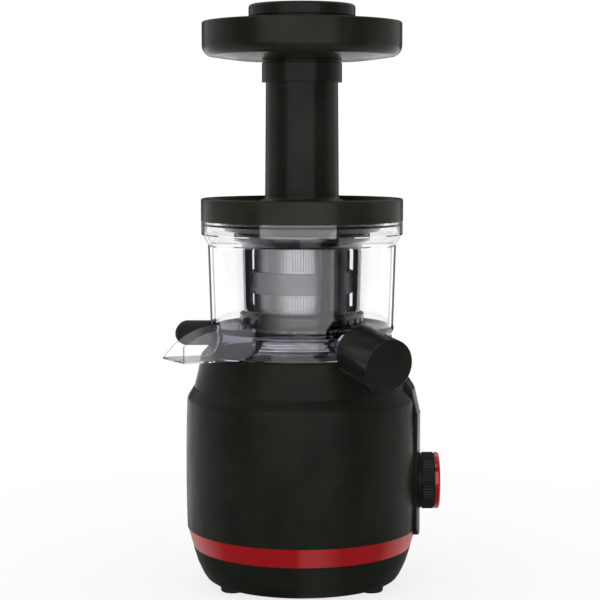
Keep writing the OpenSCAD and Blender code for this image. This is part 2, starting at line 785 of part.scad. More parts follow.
module bowl_base() {
    color(clear_grey) difference() {
        union() {
            foot_shell();
            pulp_duct();
            juice_pipe();
            // walls of the pulp's way down, on which the strainer stands
            pulp_ring(33.8, 32.6, pulp_half + 3, under_z, strainer_z - under_z);
            pulp_ring(21.5, 20.3, pulp_half + 3, under_z, strainer_z - under_z);
            for (side = [-1, 1]) rotate(pulp_dir + side * (pulp_half + 1.5))
                translate([20.4, -0.7, under_z])
                    cube([13.2, 1.4, strainer_z - under_z]);
            // posts under the strainer, and the guide and seat of the wiper
            for (a = [100, 150, 340]) along(a, 28) translate([0, 0, under_z])
                cylinder(r = 2.2, h = strainer_z - under_z);
            ring(45.4, 44, under_z, floor_t + 2.4);
            ring(44.1, 41, under_z, gear_z - under_z);
            // pocket for the magnet that the base feels
            along(sensor_dir, 55) translate([0, 0, deck_z + 9.8])
                cylinder(r = 5, h = under_z - deck_z - 9.8 + eps);
        }
        // the pulp's way down, through the floor into the duct
        pulp_ring(32.6, 21.5, pulp_half, under_z - 1, strainer_z - under_z + 2);
        in_chute() translate([-8.2, -duct_half, deck_z])
            cube([90, 2 * duct_half, under_z - deck_z]);
        // the juice's way out
        in_tap() {
            translate([0, 0, 6.4]) cylinder(r = tap_bore_r, h = 57.6);
            translate([0, 0, 12]) rotate([0, -90, 0]) cylinder(r = 5.5, h = 20);
            // groove of the tap's seal
            ring(tap_pipe_r + 1, tap_pipe_r - 1.2, 26, 2.4);
        }
        // drains through the wiper's guide and seat
        for (i = [0 : 8]) rotate(tap_dir + i * 40)
            translate([40, -2, bowl_floor_z]) cube([7, 4, 4]);
        along(sensor_dir, 55) translate([0, 0, deck_z + 9]) cylinder(r = 3.6, h = 4.8);
        // room for the top of the housing, round which the tap's root reaches
        translate([0, 0, deck_z - 12]) cylinder(r = neck_r + 1.2, h = 12);
    }
}

module pulp_chute() {
    side_h = 22;
    side_l = 42;
    // the top edge of a side wall, steep at the lip and flatter at the bowl
    edge = [for (i = [0 : 12]) let (t = i / 12)
        [chute_reach - side_l * t, deck_z - 0.9 + side_h * (1 - pow(1 - t, 2.6))]];
    color(clear_grey) difference() {
        in_chute() intersection() {
            union() {
                // floor, which falls a little towards the lip
                rotate([90, 0, 0]) translate([0, 0, -chute_w / 2]) linear_extrude(chute_w)
                    polygon([[chute_reach, deck_z - 1.4], [30, deck_z + 0.4],
                        [30, deck_z + 1.9], [chute_reach, deck_z + 0.1]]);
                for (y = [-chute_w / 2, chute_w / 2 - 1.7])
                    translate([0, y + 1.7, 0]) rotate([90, 0, 0]) linear_extrude(1.7)
                        polygon(concat([[chute_reach, deck_z - 1.4]], edge,
                            [[30, deck_z + side_h - 1], [30, deck_z + 0.6]]));
            }
            // the lip is cut on a slant
            translate([0, 0, deck_z - 10]) linear_extrude(50)
                polygon([[30, -20], [chute_reach, -17.2], [chute_reach - 10.5, 17.2],
                    [30, 20]]);
        }
        // seated on the outside of the bowl, above the base's edge
        revolve([[0, deck_z - 5], [wall_at(bowl_floor_z) + 0.1, deck_z - 5],
            [wall_at(bowl_floor_z) + 0.1, deck_z + 40], [0, deck_z + 40]]);
        revolve(concat(bowl_outer, [[0, bowl_rim_z], [0, deck_z]]));
        revolve([[0, deck_z - 9], [neck_r + 1, deck_z - 9], [neck_r + 1, deck_z + 0.3],
            [0, deck_z + 0.3]]);
    }
}

module bowl_grip() {
    color(black) difference() {
        translate([0, 5.5, deck_z + 13]) rotate([90, 0, 0]) linear_extrude(11)
            union() {
                translate([-81.2, 0]) circle(r = 8.2);
                translate([-81.2, -8.2]) square([20, 16.4]);
            }
        // hollow of each side, inside a rim
        for (side = [-1, 1])
            translate([0, side * 5.5 + 1.4, deck_z + 13]) rotate([90, 0, 0])
                linear_extrude(2.8) union() {
                    translate([-81.2, 0]) circle(r = 5.6);
                    translate([-81.2, -5.6]) square([13, 11.2]);
                }
        revolve(concat(bowl_outer, [[0, bowl_rim_z], [0, deck_z]]));
    }
}

module shaft_seal() {
    color(soft_grey) revolve([[6 + run_gap, boss_top_z - 1.2], [6.8, boss_top_z - 6],
        [8.5, boss_top_z - 6], [8.5, boss_top_z], [11, boss_top_z],
        [10.6, boss_top_z + 1], [6 + run_gap, boss_top_z + 0.6]]);
}

module bowl_magnet() {
    color(steel) along(sensor_dir, 55)
        translate([0, 0, deck_z + 9.8]) cylinder(r = 3.6, h = 4);
}

module pulp_plug() {
    // a soft stopper that closes the duct from below
    color([0.55, 0.55, 0.58]) intersection() {
        in_chute() translate([-8, -duct_half, deck_z + 0.5])
            cube([90, 2 * duct_half, 2.6]);
        translate([0, 0, deck_z]) cylinder(r = 65.5, h = 10);
    }
}

// ---- juice tap -----------------------------------------------------------

module tap_cap() {
    color(black) in_tap() difference() {
        union() {
            cylinder(r = tap_r - 0.8, h = 2);
            translate([0, 0, 0.8]) cylinder(r = tap_r, h = tap_len - 0.8);
            revolve(concat([[0, 0]], arc(tap_r - 0.8, 0.8, 0.8, -90, 0, 4), [[0, 0.8]]));
            // grip rib along the cap's lower left
            rotate(225) translate([tap_r - 1.5, -4, 0.6]) cube([3.4, 8, tap_len - 1.2]);
        }
        translate([0, 0, 3.2]) cylinder(r = tap_pipe_r + run_gap, h = tap_len);
        // opening that is turned down over the pipe's own
        translate([0, 0, 12]) rotate([-90, 0, 0]) cylinder(r = 5.5, h = 30);
    }
}

module tap_seal() {
    color([0.7, 0.7, 0.72]) in_tap() ring(tap_pipe_r, tap_pipe_r - 1.2, 26, 2.4);
}

// ---- gears and screw in the bowl -----------------------------------------

module idler_pin() {
    color(steel) along(idler_angle, idler_center)
        translate([0, 0, bowl_floor_z]) {
            cylinder(r = 3, h = strainer_z - bowl_floor_z);
            cylinder(r = 5, h = gear_z - bowl_floor_z);
        }
}

module idler_gear() {
    color(nylon) along(idler_angle, idler_center) rotate(-idler_angle)
        translate([0, 0, gear_z]) spur_gear(pinion_teeth, bowl_module, gear_t,
            idler_angle + 180 + 180 / pinion_teeth, 3 + run_gap);
}

wiper_base_r = 43.9;
window_foot_z = bowl_floor_z + 12.2;
window_top_z = wiper_top_z - 7.6;
window_h = window_top_z - window_foot_z;
// Plan angle and half width of each of the cage's windows
WINDOWS = [[243.25, 44.75], [326.8, 10.8], [63.25, 44.75], [146.8, 10.8]];
BLADES = [302, 122];                    // plan angles of the bars with blades
// Outer radius of the wiper frame's cage
function cage_at(z) = 41.2 + 1.2 * (z - window_foot_z) / window_h;
cage_top_r = cage_at(window_top_z);

module window_outline(w, h, r) {
    polygon([for (c = [[1, 1], [-1, 1], [-1, -1], [1, -1]], i = [0 : 5])
        let (a = (c[0] * c[1] > 0 ? i : 5 - i) * 18)
            [c[0] * (w / 2 - r + r * cos(a)), c[1] * (h / 2 - r + r * sin(a))]]);
}

module wiper_frame() {
    color(smoke) difference() {
        revolve(concat(
            [[30, gear_z], [wiper_base_r, gear_z], [wiper_base_r, gear_z + 8.4],
                [wiper_base_r - 1.6, gear_z + 9.6], [41.2, window_foot_z - 0.8],
                [cage_top_r, window_top_z - 1]],
            // concave flare up to the flange
            [for (i = [1 : 6]) let (t = i / 6)
                [cage_top_r + (wiper_top_r - cage_top_r - 0.2) * pow(t, 2.2),
                    window_top_z - 1 + (wiper_top_z - 2 - window_top_z) * t]],
            [[wiper_top_r, wiper_top_z - 2.4], [wiper_top_r, wiper_top_z],
                [wiper_top_r - 2.4, wiper_top_z], [wiper_top_r - 4, wiper_top_z - 2.6],
                [cage_top_r - 4, window_top_z + 0.6], [37.6, window_foot_z],
                [37.9, gear_z + gear_t], [30, gear_z + gear_t]]));
        // ring gear inside the base
        translate([0, 0, gear_z - 1]) linear_extrude(gear_t + 2)
            rotate(idler_angle + 180 / wheel_teeth) gear_outline(wheel_teeth,
                bowl_module, 0.97 * bowl_module, 0.55 * bowl_module, -tooth_play);
        // tall windows with rounded corners
        for (w = WINDOWS)
            rotate(w[0]) translate([20, 0, window_foot_z + window_h / 2])
                rotate([90, 0, 90]) linear_extrude(30)
                    window_outline(2 * 41 * sin(w[1]), window_h, w[1] > 20 ? 5 : 4);
        // a slot in the bars that hold the blades
        for (a = BLADES)
            rotate(a) translate([36, -3.5, window_foot_z + 2])
                cube([10, 7, window_h - 4]);
        // castellations round the base
        for (i = [0 : 31])
            rotate(i * 11.25) translate([wiper_base_r - 1.2, -2, gear_z + 1.4])
                cube([3, 4, 5]);
    }
}

module wiper_blades() {
    // soft blades in the bars, which sweep round the strainer
    color([0.8, 0.78, 0.84]) for (a = BLADES)
        rotate(a) translate([0, 0, window_foot_z + 2]) {
            translate([37.2, -3.5, 0]) cube([3.6, 7, window_h - 4]);
            translate([36.4, -0.8, 0]) cube([1, 1.6, window_h - 4]);
        }
}

mid_band_z = deck_z + 42;
mid_band_h = 15.2;

module strainer_frame() {
    r = strainer_r;
    color([0.7, 0.7, 0.74]) difference() {
        union() {
            // floor with the hole for the screw's foot, and the lower band
            revolve([[20.4, strainer_z], [r + 0.7, strainer_z], [r + 0.7, strainer_z + 4.4],
                [r - 1.4, strainer_z + 4.4], [r - 1.4, strainer_z + 1.8],
                [20.4, strainer_z + 1.8]]);
            // the wide band round the middle
            ring(36, r - 1.4, mid_band_z, mid_band_h);
            ring(r + 0.7, r - 1.4, strainer_top_z - 2, 2);
            // upright ribs behind the mesh
            for (i = [0 : 11]) rotate(i * 30 + 15)
                translate([r - 1.4, -0.9, strainer_z + 1]) cube([0.7, 1.8,
                    strainer_top_z - strainer_z - 2]);
        }
        // where the pulp leaves
        pulp_ring(31, 21.6, pulp_half - 1, strainer_z - 1, 5);
    }
}

module strainer_mesh() {
    // thin panels between the bands, each slotted and backed by two ribs
    color(steel) for (z = [[strainer_z + 4.4, mid_band_z],
        [mid_band_z + mid_band_h, strainer_top_z - 2]])
        difference() {
            ring(strainer_r, strainer_r - 0.6, z[0], z[1] - z[0]);
            for (i = [0 : 11]) rotate(i * 30 + 15)
                translate([strainer_r - 2, -0.05, z[0] - 1]) cube([4, 0.1, 60]);
            for (i = [0 : 11], k = [-4 : 3]) rotate(i * 30 + (k + 0.5) * 3.2)
                translate([strainer_r - 3, -0.15, z[0] + 1.2])
                    cube([6, 0.3, z[1] - z[0] - 2.4]);
        }
}

auger_foot_z = strainer_z + 0.2;
auger_top_z = strainer_top_z - 4;

module auger() {
    flight_z = auger_foot_z + 3;
    flight_h = auger_top_z - 6 - flight_z;
    crest_r = strainer_r - 1.4 - 0.5;
    color([0.16, 0.16, 0.17]) difference() {
        union() {
            revolve([[0, gear_z], [16, gear_z], [16, auger_foot_z], [20.1, auger_foot_z],
                [20.1, auger_foot_z + 2.6], [18, auger_foot_z + 3.4],
                [11.5, auger_top_z - 6], [10.4, auger_top_z - 2], [7.5, auger_top_z],
                [0, auger_top_z]]);
            translate([0, 0, gear_z]) rotate(idler_angle) linear_extrude(gear_t)
                gear_outline(auger_teeth, bowl_module, 0.75 * bowl_module,
                    bowl_module, tooth_play);
            // the two flights of the screw
            translate([0, 0, flight_z]) linear_extrude(flight_h, twist = -400, slices = 26)
                polygon([for (i = [0 : 23])
                    let (a = i * 15, lobe = pow(abs(cos(a)), 5),
                        r = 9 + (crest_r - 9) * lobe)
                            [r * cos(a), r * sin(a)]]);
        }
        translate([0, 0, gear_z - 1]) cylinder(r = 13.4, h = boss_top_z + 2.6 - gear_z);
        translate([0, 0, boss_top_z]) cylinder(r = 9, h = hex_top_z + 1 - boss_top_z);
        translate([0, 0, auger_top_z - 12]) cylinder(r = 4, h = 20);
    }
}

module auger_socket() {
    color(steel) difference() {
        translate([0, 0, boss_top_z + 1.6]) cylinder(r = 9, h = hex_top_z + 1 - boss_top_z - 1.6);
        translate([0, 0, boss_top_z]) cylinder(r = 6.3, h = hex_z - boss_top_z);
        translate([0, 0, boss_top_z]) cylinder(d = (hex_flats + 0.3) / cos(30),
            h = hex_top_z + 0.4 - boss_top_z, $fn = 6);
    }
}

module auger_pin() {
    color(steel) {
        translate([0, 0, auger_top_z - 12]) cylinder(r = 4, h = 12 + lid_plate_z - 12 - auger_top_z);
        translate([0, 0, lid_plate_z - 12 - eps]) cylinder(r1 = 4, r2 = 2.6, h = 1.6);
    }
}

// ---- lid, tray and pusher ------------------------------------------------

core_foot_z = strainer_top_z + 0.2;
tube_foot_z = lid_plate_z - lid_plate_t;

plug_r = rim_r - 2.6;

// What the food falls through, from the tube to the strainer's mouth
module feed_passage() {
    intersection() {
        translate([0, tube_y, core_foot_z - 1]) cylinder(r = tube_bore_r, h = 60);
        revolve([[0, core_foot_z - 1], [30.6, core_foot_z - 1], [31, core_foot_z + 2.6],
            [41.6, core_foot_z + 12], [60, core_foot_z + 13], [60, core_foot_z + 59],
            [0, core_foot_z + 59]]);
    }
}

// The funnel under the lid, which reaches down to the strainer's mouth
module funnel() {
    outside = [[34.4, core_foot_z], [35.2, core_foot_z + 3], [46, core_foot_z + 12.4],
        [46, tube_foot_z]];
    revolve(concat([[0, core_foot_z]], outside, [[43.4, tube_foot_z],
        [43.4, core_foot_z + 13.4], [33.4, core_foot_z + 4.6], [33.4, core_foot_z + 2.4],
        [0, core_foot_z + 2.4]]));
    // wall round the passage, and the ramp behind it
    intersection() {
        translate([0, tube_y, core_foot_z]) cylinder(r = tube_bore_r + 2.4, h = 60);
        revolve(concat([[0, core_foot_z]], outside, [[0, tube_foot_z]]));
    }
}

module lid() {
    color(black) difference() {
        revolve(concat(
            [[lid_r, bowl_rim_z], [lid_r, lid_top_z - 1.4]],
            arc(lid_r - 1.4, lid_top_z - 1.4, 1.4, 0, 90, 4),
            [[lid_r - 3, lid_top_z], [lid_r - 3.8, lid_plate_z + 0.6],
                [lid_r - 4.6, lid_plate_z], [0, lid_plate_z],
                [0, tube_foot_z], [plug_r - 2.4, tube_foot_z],
                [plug_r - 2.4, bowl_rim_z + 2], [plug_r, bowl_rim_z + 2],
                [plug_r, rim_top_z + 0.5], [rim_r + 0.4, rim_top_z + 0.5],
                [rim_r + 0.4, bowl_rim_z]]));
        translate([0, tube_y, tube_foot_z - 1])
            cylinder(r = tube_bore_r, h = lid_plate_t + 2);
        // groove of the seal
        ring(plug_r + 1, plug_r - 1.2, bowl_rim_z + 4, 3);
    }
}

module lid_funnel() {
    // welded under the lid, with the hub of the screw's upper bearing
    color(black) difference() {
        union() {
            difference() {
                funnel();
                feed_passage();
            }
            translate([0, 0, core_foot_z])
                cylinder(r = 7.4, h = tube_foot_z - core_foot_z);
            translate([-3.5, -12, core_foot_z])
                cube([7, 12, tube_foot_z - core_foot_z]);
        }
        translate([0, 0, core_foot_z - 1])
            cylinder(r = 5.6, h = tube_foot_z - core_foot_z - 1);
    }
}

module feed_tube() {
    color(black) translate([0, tube_y, 0]) difference() {
        revolve(concat(
            [[0, lid_plate_z], [tube_r + 3.4, lid_plate_z],
                [tube_r + 3.4, lid_plate_z + 1.6]],
            // flared foot of the tube
            [for (i = [0 : 4]) let (a = i * 22.5)
                [tube_r + 3 - 3 * sin(a), lid_plate_z + 5 - 3 * cos(a)]],
            [[tube_r - 0.7, collar_z], [tube_r - 0.7, tube_end_z], [0, tube_end_z]]));
        translate([0, 0, tube_foot_z - 1]) cylinder(r = tube_bore_r, h = 200);
    }
}

module lid_seal() {
    color([0.72, 0.72, 0.75])
        ring(rim_r - 2.2 - run_gap, plug_r - 1.2, bowl_rim_z + 4, 3);
}

module top_bush() {
    color([0.75, 0.55, 0.3])
        ring(5.6, 4 + run_gap, core_foot_z + 0.4, tube_foot_z - core_foot_z - 2.4);
}

module hopper_tray() {
    t = 2.8;
    floor_z = tray_floor_z;
    under = floor_z - t;
    color(black) translate([0, tube_y, 0]) revolve(concat(
        // collar round the end of the feed tube
        [[tube_r - 0.7 + 0.1, collar_z], [28.4, collar_z], [28.4, collar_z + 13.4],
            [27.7, collar_z + 13.7], [27.7, under - 0.6]],
        // underside and the rounded foot of the wall
        [[48, under + 0.3], [60, under + 1.9]],
        arc(tray_r - 8.5, floor_z + 7.6, 8.5, -62, 0, 7),
        [[tray_r, tray_rim_z - 0.8], [tray_r - 0.8, tray_rim_z],
            [tray_r - 1.8, tray_rim_z], [tray_r - 2.6, tray_rim_z - 0.8]],
        arc(tray_r - 10.2, floor_z + 8.8, 7.6, 0, -60, 6),
        [[48, floor_z + 1.4], [40, floor_z], [tube_bore_r + 0.2, floor_z],
            [tube_bore_r + 0.2, tube_end_z], [tube_r - 0.6, tube_end_z]]));
}

module pusher_stem() {
    r = tube_bore_r - 0.5;
    color([0.07, 0.07, 0.07]) translate([0, tube_y, 0]) difference() {
        revolve([[0, lid_plate_z + 18], [r - 2, lid_plate_z + 18], [r, lid_plate_z + 20],
            [r, tray_floor_z + 6], [0, tray_floor_z + 6]]);
        translate([0, 0, lid_plate_z + 21]) cylinder(r = r - 2.4, h = 120);
    }
}

module pusher_cap() {
    inside_z = pusher_top_z - 3;
    spigot_r = tube_bore_r - 0.5 - 2.4;
    // a hollow cap, with a spigot that plugs the end of the stem
    color(black) translate([0, tube_y, 0]) revolve(concat(
        [[spigot_r - 2.2, tray_floor_z], [spigot_r, tray_floor_z],
            [spigot_r, inside_z], [cap_r - 2.6, inside_z],
            [cap_r - 2.6, tray_floor_z], [cap_r, tray_floor_z],
            [cap_r, pusher_top_z - 10], [cap_r - 0.7, pusher_top_z - 9.6],
            [cap_r - 0.7, pusher_top_z - 8.6], [cap_r, pusher_top_z - 8.2]],
        arc(cap_r - 2.4, pusher_top_z - 2.4, 2.4, 0, 90, 6),
        [[0, pusher_top_z], [0, inside_z], [spigot_r - 2.2, inside_z]]));
}

upper_housing();
base_pan();
trim_ring();
rubber_feet();
pan_screws();
control_panel();
rotary_switch();
knob();
knob_ring();
switch_shaft();
control_board();
run_capacitor();
cord_gland();
interlock_sensor();
motor_stator();
motor_windings();
motor_lower_bracket();
motor_upper_bracket();
motor_bearings();
motor_bolts();
motor_rotor();
motor_fan();
motor_pinion();
gearbox_case();
gearbox_bridge();
gearbox_cover();
gearbox_screws();
idle_axle();
reduction_gear();
output_gear();
drive_shaft();
lower_bush();
output_bearing();
hub_seal();
bowl();
bowl_base();
bowl_grip();
shaft_seal();
bowl_magnet();
pulp_plug();
pulp_chute();
tap_cap();
tap_seal();
idler_pin();
idler_gear();
strainer_frame();
strainer_mesh();
wiper_frame();
wiper_blades();
auger();
auger_socket();
auger_pin();
lid();
lid_funnel();
feed_tube();
lid_seal();
top_bush();
hopper_tray();
pusher_stem();
pusher_cap();
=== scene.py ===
"""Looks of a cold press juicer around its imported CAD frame. Metres, +Z up."""

import math

import bpy
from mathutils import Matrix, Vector


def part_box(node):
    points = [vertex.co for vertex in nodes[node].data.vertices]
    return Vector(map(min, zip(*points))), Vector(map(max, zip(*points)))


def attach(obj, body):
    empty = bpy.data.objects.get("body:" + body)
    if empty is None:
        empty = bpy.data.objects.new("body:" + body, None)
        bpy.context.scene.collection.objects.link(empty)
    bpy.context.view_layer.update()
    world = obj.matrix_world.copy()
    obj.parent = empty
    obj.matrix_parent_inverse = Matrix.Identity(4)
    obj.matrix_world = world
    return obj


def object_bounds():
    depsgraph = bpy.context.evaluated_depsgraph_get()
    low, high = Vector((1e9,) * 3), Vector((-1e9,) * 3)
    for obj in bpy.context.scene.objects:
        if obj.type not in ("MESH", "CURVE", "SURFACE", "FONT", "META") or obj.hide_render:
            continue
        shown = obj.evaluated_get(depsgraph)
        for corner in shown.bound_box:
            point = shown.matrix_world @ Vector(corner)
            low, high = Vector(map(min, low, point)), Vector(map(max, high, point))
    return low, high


# colours
WHITE = (1.0, 1.0, 1.0)
BLACK = (0.0098, 0.0122, 0.0082)
RED = (0.37, 0.0005, 0.003)
# painted sheen: the pale colour that the red lacquer is painted towards where it turns
# away
PAINTED_SHEEN_PINK = (0.62, 0.14, 0.13)
SMOKE = (0.52, 0.48, 0.62)

# the part of a noise pattern, 0 to 1, in which a colour or value goes over
PATTERN = (0.3, 0.7)

# surfaces that turn away from the eye: 0 is square to it and 1 edge on
PAINTED_SHEEN_TURN = (0.4, 0.72)  # lacquer is painted paler here, a painted sheen
PAINTED_RIM_TURN = (0.77, 0.83)  # clear plastic is painted darker here, a painted dark rim (painted shade)
PAINTED_RIM_TINT = (0.01, 0.009, 0.014)  # to this tint of painted shade
PAINTED_EDGE_TURN = (0.775, 0.81)  # the painted dark line (painted shade) along an upright wall's outline
PAINTED_EDGE_TILT = (0.3, 0.5)  # how far a wall leans before it has no such line
PAINTED_EDGE_COLOUR = (0.42, 0.41, 0.46)  # the line's share of light at each crossing

# the studio, where a level of 1 is white and turns are in radians
STUDIO_LEVEL = 0.85  # light from all round
STUDIO_DIM = 0.12  # what gloss shows in front of the object, beside the lamps
STUDIO_BACK = 0.85  # what gloss shows behind the object
# how far back the bright sides of the mirrored studio start and end
SIDE_START = (-0.35, 0.2)
SIDE_END = (0.8, 0.9)

# the floor
FLOOR_HALF = 4.0
FLOOR_WHITE = 0.8  # share of the floor by the object that shows as plain white
FLOOR_AWAY = (0.1, 0.5)  # how far out the rest of it goes over to plain white
# the mirrored floor: dim in front and bright behind, with three brighter areas
FLOOR_FADE = (-0.05, 0.5)
# far in front, where it stands in for the front lamp
STRIP_LEFT = (-1.0, -0.35)
STRIP_RIGHT = (0.67, 0.7)
STRIP_AHEAD = (0.4, 0.6)
STRIP_LEVEL = 1.5
# close in front, for the red ring
PATCH_LEFT = (-0.08, 0.02)
PATCH_RIGHT = (0.15, 0.55)
PATCH_LEVEL = 1.1
# close by at the sides, for the ring's ends
BESIDE = (0.13, 0.2)
BESIDE_LEVEL = 1.3
CLOSE = (0.0, 0.4)  # how far ahead those two end

CAMERA_PLACE = (-0.0014, -1.2083, 0.31293)
CAMERA_TILT = math.radians(84.7694)
CAMERA_LENS = 102.9
CAMERA_SENSOR = 36.0

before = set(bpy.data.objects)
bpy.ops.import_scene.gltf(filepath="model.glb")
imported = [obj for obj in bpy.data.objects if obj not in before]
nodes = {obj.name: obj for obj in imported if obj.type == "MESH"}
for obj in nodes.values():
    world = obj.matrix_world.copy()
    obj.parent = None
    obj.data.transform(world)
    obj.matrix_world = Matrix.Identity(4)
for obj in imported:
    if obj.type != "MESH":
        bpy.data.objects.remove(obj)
cad_low, cad_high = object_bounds()
scene = bpy.context.scene


# ---- node trees ----------------------------------------------------------


class Nodes:
    """A node tree, built with short calls."""

    def __init__(self, tree):
        self.tree = tree
        self.tree.nodes.clear()

    def add(self, kind, **props):
        node = self.tree.nodes.new(kind)
        for key, value in props.items():
            setattr(node, key, value)
        return node

    def link(self, source, target):
        self.tree.links.new(source, target)

    def math(self, operation, *sources):
        """A Math node's output, fed by sockets and numbers."""
        node = self.add("ShaderNodeMath", operation=operation)
        for socket, source in zip(node.inputs, sources):
            if isinstance(source, float):
                socket.default_value = source
            else:
                self.link(source, socket)
        return node.outputs[0]

    def axes(self, vector):
        """A vector's outputs X, Y and Z."""
        split = self.add("ShaderNodeSeparateXYZ")
        self.link(vector, split.inputs[0])
        return split.outputs

    def spread(self, source, low, high, start=PATTERN[0], end=PATTERN[1]):
        """low at start and high at end, even between them and held outside."""
        node = self.add("ShaderNodeMapRange")
        for key, value in (
            ("From Min", start),
            ("From Max", end),
            ("To Min", low),
            ("To Max", high),
        ):
            node.inputs[key].default_value = value
        self.link(source, node.inputs["Value"])
        return node.outputs["Result"]

    def step(self, source, start, end):
        """0 up to start and 1 from end on, with a smooth rise."""
        result = self.spread(source, 0.0, 1.0, start, end)
        result.node.interpolation_type = "SMOOTHSTEP"
        return result

    def window(self, source, level, rise, fall):
        """level from the rise to the fall, and 0 outside them."""
        up = self.spread(source, 0.0, level, *rise)
        down = self.spread(source, level, 0.0, *fall)
        return self.math("MINIMUM", up, down)

    def largest(self, first, *rest):
        """The largest of its sources."""
        return self.math("MAXIMUM", first, self.largest(*rest)) if rest else first


class Material(Nodes):
    """A new material's node tree."""

    def __init__(self, name):
        self.mat = bpy.data.materials.new(name)
        self.mat.use_nodes = True
        super().__init__(self.mat.node_tree)
        self.out = self.add("ShaderNodeOutputMaterial")
        self.place = self.add("ShaderNodeTexCoord").outputs["Object"]

    def shader(self, **values):
        """A Principled shader with constants on its own sockets."""
        node = self.add("ShaderNodeBsdfPrincipled")
        for key, value in values.items():
            node.inputs[key.replace("_", " ")].default_value = value
        return node

    def see_through(self, colour):
        node = self.add("ShaderNodeBsdfTransparent")
        node.inputs["Color"].default_value = (*colour, 1.0)
        return node

    def either(self, share, one, other):
        """one shader where share is 0, and the other where it is 1."""
        node = self.add("ShaderNodeMixShader")
        self.link(share, node.inputs["Fac"])
        self.link(one.outputs[0], node.inputs[1])
        self.link(other.outputs[0], node.inputs[2])
        return node

    def noise(self, scale, detail=2.0, stretch=None):
        node = self.add("ShaderNodeTexNoise")
        node.inputs["Scale"].default_value = scale
        node.inputs["Detail"].default_value = detail
        place = self.place
        if stretch:
            mapping = self.add("ShaderNodeMapping")
            mapping.inputs["Scale"].default_value = stretch
            self.link(place, mapping.inputs["Vector"])
            place = mapping.outputs["Vector"]
        self.link(place, node.inputs["Vector"])
        return node.outputs["Fac"]

    def ramp(self, source, start, end):
        """source as a colour, each end given as (place, colour)."""
        node = self.add("ShaderNodeValToRGB")
        for element, (place, colour) in zip(node.color_ramp.elements, (start, end)):
            element.position = place
            element.color = (*colour, 1.0)
        self.link(source, node.inputs["Fac"])
        return node.outputs["Color"]

    def shades(self, source, colour, first, last, places=PATTERN):
        """colour times first to last, as source goes between the places."""
        start, end = places
        return self.ramp(
            source, (start, mixed(colour, first)), (end, mixed(colour, last))
        )

    def times(self, one, other):
        """Two colours multiplied."""
        node = self.add("ShaderNodeMix", data_type="RGBA", blend_type="MULTIPLY")
        node.inputs["Factor"].default_value = 1.0
        self.link(one, node.inputs[6])
        self.link(other, node.inputs[7])
        return node.outputs[2]

    def bump(self, height, strength, distance, edge=0.0):
        """A bump normal, over rounded edges where edge is a radius."""
        node = self.add("ShaderNodeBump")
        node.inputs["Strength"].default_value = strength
        node.inputs["Distance"].default_value = distance
        self.link(height, node.inputs["Height"])
        if edge:
            bevel = self.add("ShaderNodeBevel", samples=4)
            bevel.inputs["Radius"].default_value = edge
            self.link(bevel.outputs["Normal"], node.inputs["Normal"])
        return node.outputs["Normal"]

    def dress(self, shader, **sources):
        """Links sources to the shader's sockets of those names."""
        for key, source in sources.items():
            self.link(source, shader.inputs[key.replace("_", " ")])

    def finish(self, shader):
        self.link(shader.outputs[0], self.out.inputs["Surface"])
        return self.mat


def mixed(colour, gain):
    return tuple(min(1.0, c * gain) for c in colour)


# ---- materials -----------------------------------------------------------


def moulded(name, colour, rough, edge=0.0004, grain=0.15, level=0.5, spread=0.25):
    """Moulded plastic: faint flow mottling, fine grain and handling marks."""
    t = Material(name)
    p = t.shader(IOR=1.46, Specular_IOR_Level=level)
    mottle = t.noise(scale=38.0, detail=3.0)
    marks = t.noise(scale=140.0, detail=4.0, stretch=(1.0, 1.0, 0.35))
    fine = t.noise(scale=2600.0)
    t.dress(
        p,
        Base_Color=t.shades(mottle, colour, 1 - spread, 1 + spread),
        Roughness=t.spread(marks, rough * 0.85, rough * 1.25),
        Normal=t.bump(fine, strength=grain, distance=0.00004, edge=edge),
    )
    return t.finish(p)


def rubber(name, colour, rough=0.62):
    t = Material(name)
    p = t.shader(IOR=1.5, Specular_IOR_Level=0.35)
    cloud = t.noise(scale=60.0, detail=3.0)
    fine = t.noise(scale=1800.0, detail=3.0)
    t.dress(
        p,
        Base_Color=t.shades(cloud, colour, 0.8, 1.2),
        Roughness=t.spread(cloud, rough * 0.92, rough * 1.1),
        Normal=t.bump(fine, strength=0.35, distance=0.00006, edge=0.0004),
    )
    return t.finish(p)


